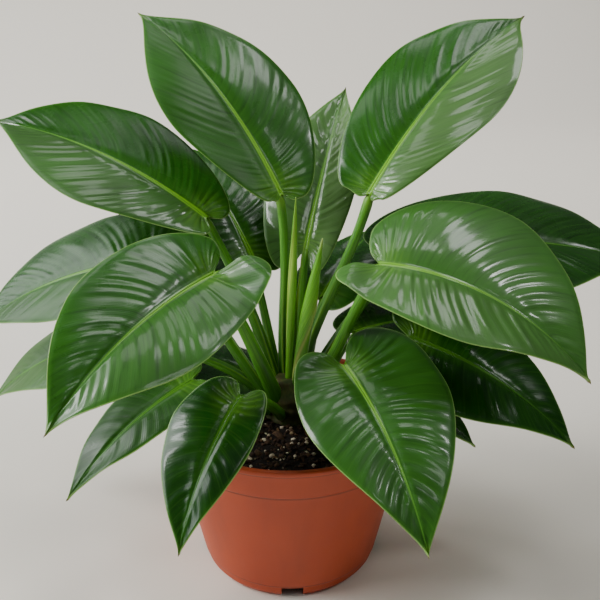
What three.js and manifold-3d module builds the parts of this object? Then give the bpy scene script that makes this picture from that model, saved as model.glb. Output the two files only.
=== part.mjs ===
// A potted imperial green philodendron: a rosette of heart-shaped leaves on round stalks that
// grow from one short stem, in a tapered plastic pot filled with soil.
// Millimetres, +Z up. The origin is the middle of the pot's flat base, the front is towards -Y.

import * as THREE from 'three';
import Module from 'manifold-3d';

const wasm = await Module();
wasm.setup();

// Driving dimensions of the pot
const potHeight = 102;
const rimRadius = 76;
const lipHeight = 2.8;
const collarDrop = 19.6;
const collarTopRadius = 74.6;
const collarFootRadius = 72;
const collarStep = 1.1;
const footRadius = 50.7;
const footHeight = 8.5;
const footShoulderRadius = 55;
const footFlare = 2.6;
const footFlareHeight = 4.2;
const wall = 1.9;
const rimWidth = 3.4;
const edgeBreak = 0.8;
const floorThickness = 2.2;
const padRadius = 20;
const recessOuterRadius = 41;
const recessDepth = 0.8;
const drainSlots = 4;
const drainSlotWidth = 13;
const drainSlotHeight = 9;
const drainSlotDepth = 16;
const firstDrainAngle = -88;
const potSides = 44;

// Driving dimensions of the soil and the stem
const clearance = 0.3;
const soilLevel = 96.5;
const soilRelief = 1.3;
const soilRings = 9;
const soilSeed = 7;
const stemFoot = 74;
const stemRadius = 15;
const stemTaperHeight = 10;
const stemRingHeights = [100, 107, 114];
const stemRingDepth = 1;
const stemTop = 122;
const stemTopRadius = 9.5;
const stemSides = 20;

// Driving dimensions that every leaf shares
const bladeThickness = 0.8;
const ribDepth = 2.4;
const ribTipDepth = 0.3;
const ribHalfWidth = 3;
const ribTipHalfWidth = 0.8;
const veinBow = 1.6;
const veinCrowding = 1.35;
const lobeShare = 0.2;
const shoulderShare = 0.48;
const waveCount = 2.3;
const waveStart = 0.3;
const waveShiftRight = 0.17;
const perkShare = 0.7;
const petioleSides = 8;
const petioleSteps = 7;
const petioleReach = 0.38;
const stalkSinks = 1.6;

// The leaves, by where they stand as seen from the front. Each has the point where its blade meets
// its stalk (at), the compass angle its midrib points to (az, 0 is +X, 90 is the back), how steeply
// the midrib rises there and how far it droops along its length (rise, droop), its roll about the
// midrib, its length, and for its left and right half the widest half width as a share of the
// length, where that lies (yw), how far the lobe reaches back, its breadth as a share of the half
// width (base), how far its end perks up, how far the half folds up from the midrib, how far it
// curls down towards the margin, and the height of the margin's waves. The stalk has its foot, the
// angles at which it leaves the stem and reaches the blade (compass angle, rise) and its radius at
// either end.
const usualLeaf = {
  roll: 0, droop: 30, w: [0.34, 0.34], yw: [0.25, 0.25], lobe: [0.13, 0.13],
  base: [0.38, 0.38], perk: [0, 0],
  fold: [12, 12], curl: [25, 25], wave: 1, radii: [4, 2.5], fine: true,
};
const leaves = [
  { name: 'top_left', at: [-5, 10, 233], az: 141, rise: 57, droop: 34, roll: -28, length: 146,
    w: [0.25, 0.29], yw: [0.44, 0.38], lobe: [0.02, 0.05], base: [0.22, 0.28],
    fold: [16, 12],
    foot: [-3, 7, 120], starts: [140, 86], meets: [150, 80], radii: [3.6, 2.3] },
  { name: 'top_right', at: [46, 10, 233], az: 40, rise: 50, droop: 30, roll: 24, length: 158,
    w: [0.27, 0.24], yw: [0.48, 0.49], lobe: [0.02, 0.01], base: [0.36, 0.24],
    fold: [10, 18],
    foot: [6, 6, 120], starts: [40, 70], meets: [35, 72], radii: [3.6, 2.6] },
  { name: 'high_left', at: [-49, 14, 218], az: 157, rise: 31, droop: 28, roll: -30, length: 155,
    w: [0.25, 0.27], yw: [0.42, 0.46], lobe: [0.06, 0.06], base: [0.22, 0.26],
    fold: [16, 10],
    foot: [-9, 4, 117], starts: [155, 72], meets: [165, 60], radii: [3.6, 2.5] },
  { name: 'mid_left', at: [-69, 8, 193], az: 164, rise: -6, droop: 35, roll: -35, length: 155,
    w: [0.21, 0.27], yw: [0.36, 0.36],
    foot: [-13, -1, 108], starts: [175, 55], meets: [170, 50], radii: [3.6, 2.5] },
  { name: 'front_left', at: [-41, -30, 198], az: 229, rise: -6, droop: 36, roll: -30, length: 125,
    w: [0.33, 0.32], yw: [0.34, 0.36], lobe: [0.15, 0.12], base: [0.42, 0.4], fold: [24, 19],
    curl: [30, 25], perk: [13, 0],
    foot: [-8, -9, 112], starts: [225, 65], meets: [225, 55], radii: [4.6, 2.8] },
  { name: 'low_left', at: [-94, 20, 140], az: 163, rise: -12, droop: 35, roll: -25, length: 134,
    w: [0.24, 0.28],
    foot: [-13, 5, 102], starts: [170, 50], meets: [165, 15], radii: [3.2, 2.3] },
  { name: 'low_front_left', at: [-56, -22, 130], az: 219, rise: -12, droop: 34, roll: -8, length: 96,
    w: [0.21, 0.27], lobe: [0.06, 0.13],
    foot: [-13, -7, 102], starts: [208, 38], meets: [203, 30], radii: [3.2, 2.2] },
  { name: 'low_front', at: [-26, -57, 137], az: 243, rise: -20, droop: 45, roll: -5, length: 89,
    w: [0.23, 0.34], lobe: [0.11, 0.13],
    foot: [-5, -13, 102], starts: [250, 45], meets: [240, 20], radii: [3.2, 2.1] },
  { name: 'front_right', at: [31, -45, 150], az: -65, rise: -12, droop: 46, roll: 12, length: 113,
    w: [0.39, 0.33], lobe: [0.2, 0.14], base: [0.54, 0.38], perk: [0, 4],
    foot: [8, -12, 104], starts: [-55, 50], meets: [-55, 25], radii: [3.6, 2.5] },
  { name: 'mid_right', at: [50, -30, 204], az: -18, rise: 1, droop: 52, roll: 30, length: 130,
    w: [0.46, 0.3], yw: [0.38, 0.32], lobe: [0.07, 0.16], base: [0.34, 0.38], fold: [12, 20],
    perk: [0, 5],
    foot: [12, -5, 113], starts: [-20, 58], meets: [-25, 60], radii: [3.8, 2.9] },
  { name: 'back_right', at: [70, 44, 186], az: 2, rise: 12, droop: 32, roll: 18, length: 158,
    w: [0.37, 0.34], yw: [0.44, 0.38],
    foot: [12, 7, 112], starts: [32, 58], meets: [30, 45], radii: [3.5, 2.5] },
  { name: 'low_right', at: [72, 0, 147], az: -18, rise: -12, droop: 35, roll: 25, length: 116,
    foot: [14, 0, 107], starts: [0, 48], meets: [0, 25], radii: [3.4, 2.3] },
  { name: 'small_right', at: [50, -14, 124], az: -17, rise: -10, droop: 35, roll: 10, length: 70,
    foot: [14, -5, 102], starts: [-15, 35], meets: [-15, 25], radii: [2.8, 2], fine: false },
  { name: 'back', at: [10, 40, 190], az: 70, rise: 56, droop: 15, roll: 5, length: 116,
    w: [0.3, 0.2], yw: [0.36, 0.36],
    foot: [2, 12, 114], starts: [80, 70], meets: [75, 65], radii: [3.5, 2.4] },
  { name: 'back_left', at: [-24, 50, 181], az: 125, rise: 45, droop: 25, roll: -15, length: 105,
    w: [0.32, 0.28],
    foot: [-6, 12, 108], starts: [115, 60], meets: [115, 55], radii: [3.3, 2.3] },
  { name: 'small_back', at: [21, 46, 156], az: 60, rise: 30, droop: 25, length: 80,
    foot: [7, 13, 104], starts: [65, 50], meets: [65, 45], radii: [3, 2], fine: false },
  { name: 'low_back_right', at: [42, 30, 138], az: 20, rise: 10, droop: 25, roll: 10, length: 85,
    foot: [13, 8, 102], starts: [33, 38], meets: [33, 30], radii: [3, 2], fine: false },
  { name: 'low_back_left', at: [-26, 24, 108], az: 152, rise: 12, droop: 18, roll: -5, length: 85,
    foot: [-10, 12, 100.5], starts: [140, 20], meets: [145, 15], radii: [2.8, 2], fine: false },
];

// The bud sheaths and the rolled new leaf: four points that steer each one, and its radius
const spears = [
  { name: 'sheath_pale', radius: 2.6, colour: 'pale',
    points: [[-1, -2, 114], [1, -2, 160], [3, -1, 200], [4, 0, 233]] },
  { name: 'sheath_green', radius: 2, colour: 'stalk',
    points: [[4, 0, 114], [5, -0.5, 150], [6, -0.5, 180], [9, -0.5, 207]] },
  { name: 'new_leaf_rolled', radius: 4.2, colour: 'bright',
    points: [[4, -7, 112], [8, -8, 150], [13, -8, 180], [19, -7, 211]] },
];
const spearSteps = 9;
const spearSides = 7;
const spearFootShare = 0.8;
const spearPointShare = 0.07;
const spearPointPower = 1.6;

// Materials
const colours = {
  terracotta: new THREE.MeshStandardMaterial({ color: 0xb8603f, roughness: 0.55, metalness: 0 }),
  soil: new THREE.MeshStandardMaterial({ color: 0x2e241c, roughness: 0.95, metalness: 0 }),
  stem: new THREE.MeshStandardMaterial({ color: 0x6f7b3a, roughness: 0.7, metalness: 0 }),
  blade: new THREE.MeshStandardMaterial({ color: 0x2c6b1e, roughness: 0.3, metalness: 0 }),
  stalk: new THREE.MeshStandardMaterial({ color: 0x4f8a26, roughness: 0.4, metalness: 0 }),
  pale: new THREE.MeshStandardMaterial({ color: 0xb9c96a, roughness: 0.45, metalness: 0 }),
  bright: new THREE.MeshStandardMaterial({ color: 0x7fb32c, roughness: 0.4, metalness: 0 }),
};

const radians = THREE.MathUtils.degToRad;
const weld = 1e-4;
const simplifyWithin = 0.01;
const tubeGuide = new THREE.Vector3(0.3, -0.9, 0.2);

// A closed solid from a list of points and a list of triangles: points that coincide become one,
// and triangles that this leaves with no area are dropped
function solidOf(points, triangles) {
  const places = new Map();
  const vertices = [];
  const index = points.map((point) => {
    const key = point.map((value) => Math.round(value / weld)).join();
    if (!places.has(key)) {
      places.set(key, vertices.length / 3);
      vertices.push(...point);
    }
    return places.get(key);
  });
  const kept = triangles
    .map((corners) => corners.map((corner) => index[corner]))
    .filter(([a, b, c]) => a !== b && b !== c && c !== a);
  return new wasm.Manifold(new wasm.Mesh({
    numProp: 3,
    vertProperties: new Float32Array(vertices),
    triVerts: new Uint32Array(kept.flat()),
  }));
}

function meshOf(name, solid, material) {
  const largest = solid.decompose().sort((a, b) => b.volume() - a.volume())[0];
  const mesh = largest.simplify(simplifyWithin).getMesh();
  const geometry = new THREE.BufferGeometry();
  geometry.setAttribute('position', new THREE.BufferAttribute(mesh.vertProperties, 3));
  geometry.setIndex(new THREE.BufferAttribute(mesh.triVerts, 1));
  geometry.computeVertexNormals();
  const result = new THREE.Mesh(geometry, material);
  result.name = name;
  return result;
}

// A profile of [radius, height] points turned about the vertical axis, from axis to axis
function turned(profile, sides, shape = (angle, radius, height) => [radius, height]) {
  const points = [];
  const triangles = [];
  profile.forEach(([radius, height]) => {
    for (let side = 0; side < sides; side += 1) {
      const angle = (2 * Math.PI * side) / sides;
      const [r, z] = shape(angle, radius, height);
      points.push([r * Math.cos(angle), r * Math.sin(angle), z]);
    }
  });
  for (let ring = 0; ring + 1 < profile.length; ring += 1) {
    for (let side = 0; side < sides; side += 1) {
      const a = ring * sides + side;
      const b = ring * sides + ((side + 1) % sides);
      triangles.push([a, b, b + sides], [a, b + sides, a + sides]);
    }
  }
  return solidOf(points, triangles);
}

// A tube that closes at both ends, along points, with a radius at each point
function swept(path, radii, sides) {
  const points = [];
  const triangles = [];
  path.forEach((centre, step) => {
    const before = path[Math.max(step - 1, 0)];
    const after = path[Math.min(step + 1, path.length - 1)];
    const along = after.clone().sub(before).normalize();
    const across = along.clone().cross(tubeGuide).normalize();
    const up = across.clone().cross(along);
    for (let side = 0; side < sides; side += 1) {
      const angle = (2 * Math.PI * side) / sides;
      const place = centre.clone()
        .addScaledVector(across, radii[step] * Math.cos(angle))
        .addScaledVector(up, -radii[step] * Math.sin(angle));
      points.push(place.toArray());
    }
  });
  for (let step = 0; step + 1 < path.length; step += 1) {
    for (let side = 0; side < sides; side += 1) {
      const a = step * sides + side;
      const b = step * sides + ((side + 1) % sides);
      triangles.push([a, b, b + sides], [a, b + sides, a + sides]);
    }
  }
  const last = (path.length - 1) * sides;
  for (let side = 1; side + 1 < sides; side += 1) {
    triangles.push([0, side + 1, side]);
    triangles.push([last, last + side, last + side + 1]);
  }
  return solidOf(points, triangles);
}

// Pot: foot, wall, collar and lip outside, then rim, inner wall and floor inside
const collarFoot = potHeight - collarDrop;
const lipFoot = potHeight - lipHeight;
const floorTop = recessDepth + floorThickness;
const potOutside = [
  [0, 0], [padRadius, 0], [padRadius + recessDepth, recessDepth],
  [recessOuterRadius, recessDepth], [recessOuterRadius + recessDepth, 0],
  [footRadius - 2 * edgeBreak, 0], [footRadius, edgeBreak],
  [footRadius + footFlare, footFlareHeight],
  [footShoulderRadius - edgeBreak, footHeight], [footShoulderRadius, footHeight + edgeBreak],
  [collarFootRadius - collarStep, collarFoot], [collarFootRadius, collarFoot + edgeBreak],
  [collarTopRadius, lipFoot - edgeBreak], [rimRadius, lipFoot],
  [rimRadius, potHeight - edgeBreak], [rimRadius - edgeBreak, potHeight],
];
const potInside = [
  [rimRadius - rimWidth, potHeight], [collarTopRadius - wall - edgeBreak, lipFoot],
  [collarFootRadius - wall - edgeBreak / 2, collarFoot], [footShoulderRadius - wall, footHeight],
  [footRadius - edgeBreak, floorTop], [0, floorTop],
];
function drainSlot(turn) {
  const box = new THREE.BoxGeometry(drainSlotDepth, drainSlotWidth, drainSlotHeight);
  box.translate(footRadius, 0, drainSlotHeight / 2 - edgeBreak);
  box.rotateZ(turn);
  const place = box.attributes.position;
  const corners = Array.from({ length: place.count }, (_, i) =>
    [place.getX(i), place.getY(i), place.getZ(i)]);
  const faces = Array.from({ length: box.index.count / 3 }, (_, i) =>
    [0, 1, 2].map((corner) => box.index.getX(3 * i + corner)));
  return solidOf(corners, faces);
}
let potSolid = turned([...potOutside, ...potInside], potSides);
for (let slot = 0; slot < drainSlots; slot += 1) {
  const turn = radians(firstDrainAngle) + (2 * Math.PI * slot) / drainSlots;
  potSolid = potSolid.subtract(drainSlot(turn));
}

// Stem: a short stout stalk with a ring for each old leaf, its foot in the soil
const stemRings = stemRingHeights.flatMap((height) =>
  [[stemRadius, height - 3], [stemRadius - stemRingDepth, height]]);
const stemOutline = [
  [0, stemFoot], [stemRadius - 4, stemFoot], [stemRadius, stemFoot + stemTaperHeight], ...stemRings,
  [stemTopRadius, stemTop - 1], [stemTopRadius - 3, stemTop], [0, stemTop],
];
function stemGrown(by) {
  const grown = stemOutline.map(([radius, height], i) => {
    const lift = i > stemOutline.length - 4 ? by : 0;
    const drop = i < 2 ? by : 0;
    return [radius > 0 ? radius + by : 0, height + lift - drop];
  });
  return turned(grown, stemSides);
}
const stemSolid = stemGrown(0);
const stemRoom = stemGrown(clearance);

// Soil: fills the pot up to a rough top of crumbs and granules, with a plain hole for the stem
function noiseFrom(seed) {
  let state = seed;
  return () => {
    state = (state * 1664525 + 1013904223) % 4294967296;
    return state / 4294967296;
  };
}
function soilBlock() {
  const random = noiseFrom(soilSeed);
  const bottom = floorTop + clearance;
  const side = [
    [0, bottom],
    [footRadius - edgeBreak - 2 * clearance, bottom],
    [footShoulderRadius - wall - 2 * clearance, footHeight + clearance],
    [collarFootRadius - wall - edgeBreak / 2 - 2 * clearance, collarFoot],
  ];
  const edgeRadius = collarTopRadius - wall - edgeBreak - 2 * clearance;
  const top = Array.from({ length: soilRings + 1 }, (_, ring) =>
    [edgeRadius * (1 - ring / soilRings), soilLevel]);
  const relief = (angle, radius, height) => (height === soilLevel && radius > 0 && radius < edgeRadius
    ? [radius, height + (random() - 0.5) * 2 * soilRelief]
    : [radius, height]);
  return turned([...side, ...top], potSides, relief);
}
const soilSolid = soilBlock().subtract(stemRoom);

// Outline of half a blade, as shares of its length: from the stalk back round the lobe, out to the
// widest point and in to the tip. Share runs from 0 at the stalk to 1 at the tip.
function bezier(a, b, c, d, t) {
  const u = 1 - t;
  return [0, 1].map((k) => a[k] * u ** 3 + 3 * b[k] * u * u * t + 3 * c[k] * u * t * t + d[k] * t ** 3);
}
function bladeEdge(share, width, widest, lobe, breadth) {
  const lobeFoot = [width * breadth, -lobe];
  const shoulder = [width, widest];
  if (share <= lobeShare) {
    return bezier([0, 0], [0.03, -0.05], [0.4 * width * breadth, -lobe], lobeFoot, share / lobeShare);
  }
  if (share <= shoulderShare) {
    const t = (share - lobeShare) / (shoulderShare - lobeShare);
    return bezier(lobeFoot, [1.85 * width * breadth, -lobe], [width, widest - 0.17], shoulder, t);
  }
  const t = (share - shoulderShare) / (1 - shoulderShare);
  return bezier(shoulder, [width, widest + 0.3], [0.035, 0.88], [0, 1], t);
}

// Where a side vein leaves the midrib, as a share of the length
function veinRoot(share) {
  return Math.max(0, (share - lobeShare) / (1 - lobeShare)) ** veinCrowding;
}

// A point of the blade, given across the midrib, along it and above it, carried to its place: turned
// by the roll, bent down along the arc of the midrib and turned to the leaf's compass angle
function placed(leaf, across, along, above) {
  const roll = radians(leaf.roll);
  const x = across * Math.cos(roll) + above * Math.sin(roll);
  const z = -across * Math.sin(roll) + above * Math.cos(roll);
  const droop = radians(leaf.droop);
  const start = radians(leaf.rise);
  const slope = start - (droop * along) / leaf.length;
  const radius = leaf.length / droop;
  const out = radius * (Math.sin(start) - Math.sin(slope)) - z * Math.sin(slope);
  const up = radius * (Math.cos(slope) - Math.cos(start)) + z * Math.cos(slope);
  const az = radians(leaf.az);
  return [
    leaf.at[0] + out * Math.cos(az) + x * Math.sin(az),
    leaf.at[1] + out * Math.sin(az) - x * Math.cos(az),
    leaf.at[2] + up,
  ];
}

// A blade: both halves fold up from the midrib and curl down again towards a waved margin. The
// underside lies one thickness below the upper side, with the midrib as a keel.
function bladeSolid(leaf) {
  const steps = leaf.fine ? 15 : 12;
  const shares = Array.from({ length: steps + 1 }, (_, i) => i / steps);
  const cross = leaf.fine ? [0, 0.07, 0.4, 0.72, 1] : [0, 0.07, 0.5, 1];
  const points = [];
  const triangles = [];
  [0, 1].forEach((half) => {
    const sign = half === 0 ? -1 : 1;
    const fold = radians(leaf.fold[half]);
    const curl = radians(leaf.curl[half]);
    const width = leaf.w[half] * leaf.length;
    const start = points.length;
    shares.forEach((share) => {
      const edge = bladeEdge(share, leaf.w[half], leaf.yw[half], leaf.lobe[half], leaf.base[half]);
      const root = veinRoot(share) * leaf.length;
      cross.forEach((t) => {
        const flat = edge[0] * leaf.length * t;
        const along = root + (edge[1] * leaf.length - root) * t ** veinBow;
        const slant = fold - (curl * flat) / width;
        const across = (width / curl) * (Math.sin(fold) - Math.sin(slant));
        const turns = waveCount * share + waveStart + waveShiftRight * half;
        const wave = leaf.wave * t * t * Math.sin(2 * Math.PI * turns) * Math.sin(Math.PI * share);
        const behind = -along / (perkShare * leaf.lobe[half] * leaf.length);
        const perk = leaf.perk[half] * THREE.MathUtils.smoothstep(behind, 0, 1);
        const above = (width / curl) * (Math.cos(slant) - Math.cos(fold)) + wave + perk;
        const lean = flat > 0 ? slant : 0;
        const reach = Math.min(Math.max(along / leaf.length, 0), 1);
        const ribWidth = ribHalfWidth + (ribTipHalfWidth - ribHalfWidth) * reach;
        const keel = (ribDepth + (ribTipDepth - ribDepth) * reach) * Math.max(0, 1 - flat / ribWidth);
        const under = bladeThickness + keel;
        points.push(placed(leaf, sign * across, along, above));
        points.push(placed(leaf, sign * (across + bladeThickness * Math.sin(lean)), along,
          above - under * Math.cos(lean)));
      });
    });
    const row = cross.length;
    const at = (i, j, side) => start + 2 * (i * row + j) + side;
    const face = (a, b, c) => triangles.push(half === 1 ? [a, b, c] : [a, c, b]);
    for (let i = 0; i < steps; i += 1) {
      for (let j = 0; j + 1 < row; j += 1) {
        face(at(i, j, 0), at(i, j + 1, 0), at(i + 1, j + 1, 0));
        face(at(i, j, 0), at(i + 1, j + 1, 0), at(i + 1, j, 0));
        face(at(i, j, 1), at(i + 1, j + 1, 1), at(i, j + 1, 1));
        face(at(i, j, 1), at(i + 1, j, 1), at(i + 1, j + 1, 1));
      }
      face(at(i, row - 1, 0), at(i, row - 1, 1), at(i + 1, row - 1, 1));
      face(at(i, row - 1, 0), at(i + 1, row - 1, 1), at(i + 1, row - 1, 0));
    }
  });
  return solidOf(points, triangles);
}

// A stalk: a smooth curve from its foot on the stem to the underside of its blade
function heading([az, rise]) {
  const a = radians(az);
  const e = radians(rise);
  return new THREE.Vector3(Math.cos(e) * Math.cos(a), Math.cos(e) * Math.sin(a), Math.sin(e));
}
function petioleSolid(leaf, grow) {
  const foot = new THREE.Vector3(...leaf.foot);
  const head = new THREE.Vector3(...placed(leaf, 0, 0, -stalkSinks));
  const reach = petioleReach * foot.distanceTo(head);
  const curve = new THREE.CubicBezierCurve3(
    foot,
    foot.clone().addScaledVector(heading(leaf.starts), reach),
    head.clone().addScaledVector(heading(leaf.meets), -reach),
    head,
  );
  const path = curve.getPoints(petioleSteps);
  if (grow > 0) {
    path[petioleSteps].addScaledVector(heading(leaf.meets), grow);
  }
  const [thick, thin] = leaf.radii;
  const radii = path.map((_, i) => thick + ((thin - thick) * i) / petioleSteps + grow);
  return swept(path, radii, petioleSides);
}

// A bud sheath or rolled leaf: a slim spindle that ends in a point
function spearSolid(spear) {
  const curve = new THREE.CubicBezierCurve3(...spear.points.map((p) => new THREE.Vector3(...p)));
  const path = curve.getPoints(spearSteps);
  const radii = path.map((_, i) => {
    const share = i / spearSteps;
    if (share < 0.5) {
      return spear.radius * (spearFootShare + 2 * share * (1 - spearFootShare));
    }
    return spear.radius * (1 - (1 - spearPointShare) * (2 * share - 1) ** spearPointPower);
  });
  return swept(path, radii, spearSides);
}

// The plant, piece by piece
const plant = new THREE.Group();
plant.add(meshOf('stem', stemSolid, colours.stem));
leaves.map((leaf) => ({ ...usualLeaf, ...leaf })).forEach((leaf) => {
  const blade = bladeSolid(leaf).subtract(petioleSolid(leaf, clearance));
  plant.add(meshOf(`blade_${leaf.name}`, blade, colours.blade));
  const petiole = petioleSolid(leaf, 0).subtract(stemRoom);
  plant.add(meshOf(`petiole_${leaf.name}`, petiole, colours.stalk));
});
spears.forEach((spear) => {
  const solid = spearSolid(spear).subtract(stemRoom);
  plant.add(meshOf(spear.name, solid, colours[spear.colour]));
});

const holder = new THREE.Group();
holder.add(meshOf('pot', potSolid, colours.terracotta));
holder.add(meshOf('soil', soilSolid, colours.soil));

const philodendron = new THREE.Group();
philodendron.add(holder, plant);

export default philodendron;
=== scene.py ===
import math

import bmesh
import bpy
import numpy as np
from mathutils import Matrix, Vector


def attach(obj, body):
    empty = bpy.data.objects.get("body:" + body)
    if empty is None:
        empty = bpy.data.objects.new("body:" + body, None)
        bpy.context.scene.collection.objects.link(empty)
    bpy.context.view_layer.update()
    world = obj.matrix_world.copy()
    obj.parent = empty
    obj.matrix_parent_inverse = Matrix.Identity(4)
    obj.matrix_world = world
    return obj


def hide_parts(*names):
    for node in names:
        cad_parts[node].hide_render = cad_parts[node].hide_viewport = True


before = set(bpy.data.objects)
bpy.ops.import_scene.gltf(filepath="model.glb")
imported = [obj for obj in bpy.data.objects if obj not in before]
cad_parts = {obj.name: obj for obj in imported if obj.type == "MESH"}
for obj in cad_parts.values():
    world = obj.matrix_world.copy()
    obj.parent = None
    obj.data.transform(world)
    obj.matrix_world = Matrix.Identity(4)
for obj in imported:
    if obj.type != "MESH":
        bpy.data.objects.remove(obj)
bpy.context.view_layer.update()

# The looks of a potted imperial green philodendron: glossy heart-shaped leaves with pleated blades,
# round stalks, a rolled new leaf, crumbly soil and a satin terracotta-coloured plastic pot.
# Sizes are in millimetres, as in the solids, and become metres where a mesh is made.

MM = 0.001
BODY = "root"
SEED = 11
LATTICE = 64
NO_FACES = np.zeros(0, int)

# Pot
POT_HEIGHT = 102.0
RIM_RADIUS = 76.0
LIP_HEIGHT = 2.8
COLLAR_DROP = 19.6
COLLAR_TOP_RADIUS = 74.6
COLLAR_FOOT_RADIUS = 72.0
COLLAR_STEP = 1.1
FOOT_RADIUS = 50.7
FOOT_HEIGHT = 8.5
FOOT_SHOULDER_RADIUS = 55.0
FOOT_FLARE = 2.6
FOOT_FLARE_HEIGHT = 4.2
WALL = 1.9
RIM_WIDTH = 3.4
EDGE_BREAK = 0.8
FLOOR_THICKNESS = 2.2
PAD_RADIUS = 20.0
RECESS_OUTER_RADIUS = 41.0
RECESS_DEPTH = 0.8
DRAIN_SLOTS = 4
DRAIN_SLOT_WIDTH = 13.0
DRAIN_SLOT_HEIGHT = 9.0
DRAIN_SLOT_DEPTH = 16.0
FIRST_DRAIN_ANGLE = -88.0
OUT_OF_ROUND = 0.12
INNERMOST_RING = 0.5
FLOOR_TOP = RECESS_DEPTH + FLOOR_THICKNESS
COLLAR_FOOT = POT_HEIGHT - COLLAR_DROP
LIP_FOOT = POT_HEIGHT - LIP_HEIGHT
INSIDE_RADIUS = COLLAR_TOP_RADIUS - WALL - EDGE_BREAK

# Soil and stem. Each size of lump in the soil has a share of the relief.
CLEARANCE = 0.3
SOIL_LEVEL = 96.5
SOIL_RELIEF = 1.1
SOIL_LUMPS = ((14, 0.5), (4.3, 0.45), (1.6, 0.4))
SOIL_DIP = 0.8
SOIL_DIP_REACH = (60, 71)
SOIL_SIDES = 300
SOIL_RINGS = 130
SOIL_SEED = SEED + 100
STEM_FOOT = 74.0
STEM_FOOT_TAPER = 4.0
STEM_FOOT_RISE = 10.0
STEM_RADIUS = 15.0
STEM_TOP = 122.0
STEM_TOP_RADIUS = 9.5
STEM_RING_HEIGHTS = (100.0, 107.0, 114.0)

# Loose bits on the soil: how many, how fine, the smallest and largest size, the longest and the
# flattest of them, how deep they sink as a share of their size, and their finish: dark and light
# screen colour, roughness and depth of the grain in metres
LOOSE_BITS = [
    dict(kind="crumbs", count=2100, detail=1, sizes=(1.0, 3.2), longest=1.6, flattest=0.5,
         sink=0.35, finish=((18, 12, 8), (74, 52, 36), 0.95, 0.0004)),
    dict(kind="chips", count=300, detail=1, sizes=(2.2, 5.0), longest=2.6, flattest=0.2,
         sink=0.42, finish=((40, 26, 16), (104, 76, 50), 0.9, 0.0003)),
    dict(kind="granules", count=300, detail=2, sizes=(1.0, 3.0), longest=1.3, flattest=0.6,
         sink=0.3, finish=((120, 96, 64), (230, 216, 188), 0.85, 0.0003)),
]
PEAT_FINISH = ((14, 9, 6), (58, 42, 30), 0.95, 0.0008)

# Leaves: what all blades and stalks share
BLADE_THICKNESS = 0.8
MARGIN_THINNING = 0.4
RIB_DEPTH = 2.4
RIB_TIP_DEPTH = 0.3
RIB_HALF_WIDTH = 3.0
RIB_TIP_HALF_WIDTH = 0.8
VEIN_BOW = 1.6
VEIN_CROWDING = 1.6
LOBE_SHARE = 0.2
SHOULDER_SHARE = 0.48
WAVE_HEIGHT = 1.0
WAVE_COUNT = 2.3
WAVE_START = 0.3
WAVE_SHIFT_RIGHT = 0.17
PERK_SHARE = 0.7
PETIOLE_REACH = 0.38
STALK_SINKS = 1.6

# The blades' small relief. A streak has a breadth, as a share of the way between two side veins,
# and a height. A grid has rows for each millimetre of length, and columns across a half.
PLEAT_SPACING = 4.4
PLEAT_HEIGHT = 0.22
STREAKS = ((1.3, 0.26), (0.5, 0.26), (0.25, 0.1))
UNDULATION = 0.7
RIPPLE = 0.4
CREST = 0.4
RIB_HEIGHT = 0.5
RIB_CHANNEL = 0.24
RIB_GROOVE = 0.16
RIB_WIDTH = 1.2
RIB_TIP_WIDTH = 0.18
MARGIN_ROLL = 0.45
MARGIN_ROUNDING = 0.12
RIM_SHARE_UNDER = 0.3
COLUMN_CROWDING = 0.13
FIRST_ROW = 0.004
LAST_ROW = 0.997
TIP_REACH = 1.012
FINE_GRID = (1.15, 33)
COARSE_GRID = (0.6, 17)

# Stalks and rolled leaves. Heights and depths are shares of the radius, and angles are counted
# from the middle of the stalk's channel. A grid has steps along the piece, and columns round it.
CHANNEL_DEPTH = 0.3
CHANNEL_WIDTH = 0.42
EDGE_HEIGHT = 0.14
EDGE_ANGLE = 0.62
STALK_GROOVES = 9
STALK_GROOVE_DEPTH = 0.012
STALK_GRID = (64, 32)
SPEAR_GRID = (90, 40)
SPEAR_SEAM_START = 0.62
SPEAR_OVERLAP = 0.2
SPEAR_FOOT_SHARE = 0.8
SPEAR_POINT_SHARE = 0.07
SPEAR_POINT_POWER = 1.6

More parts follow.
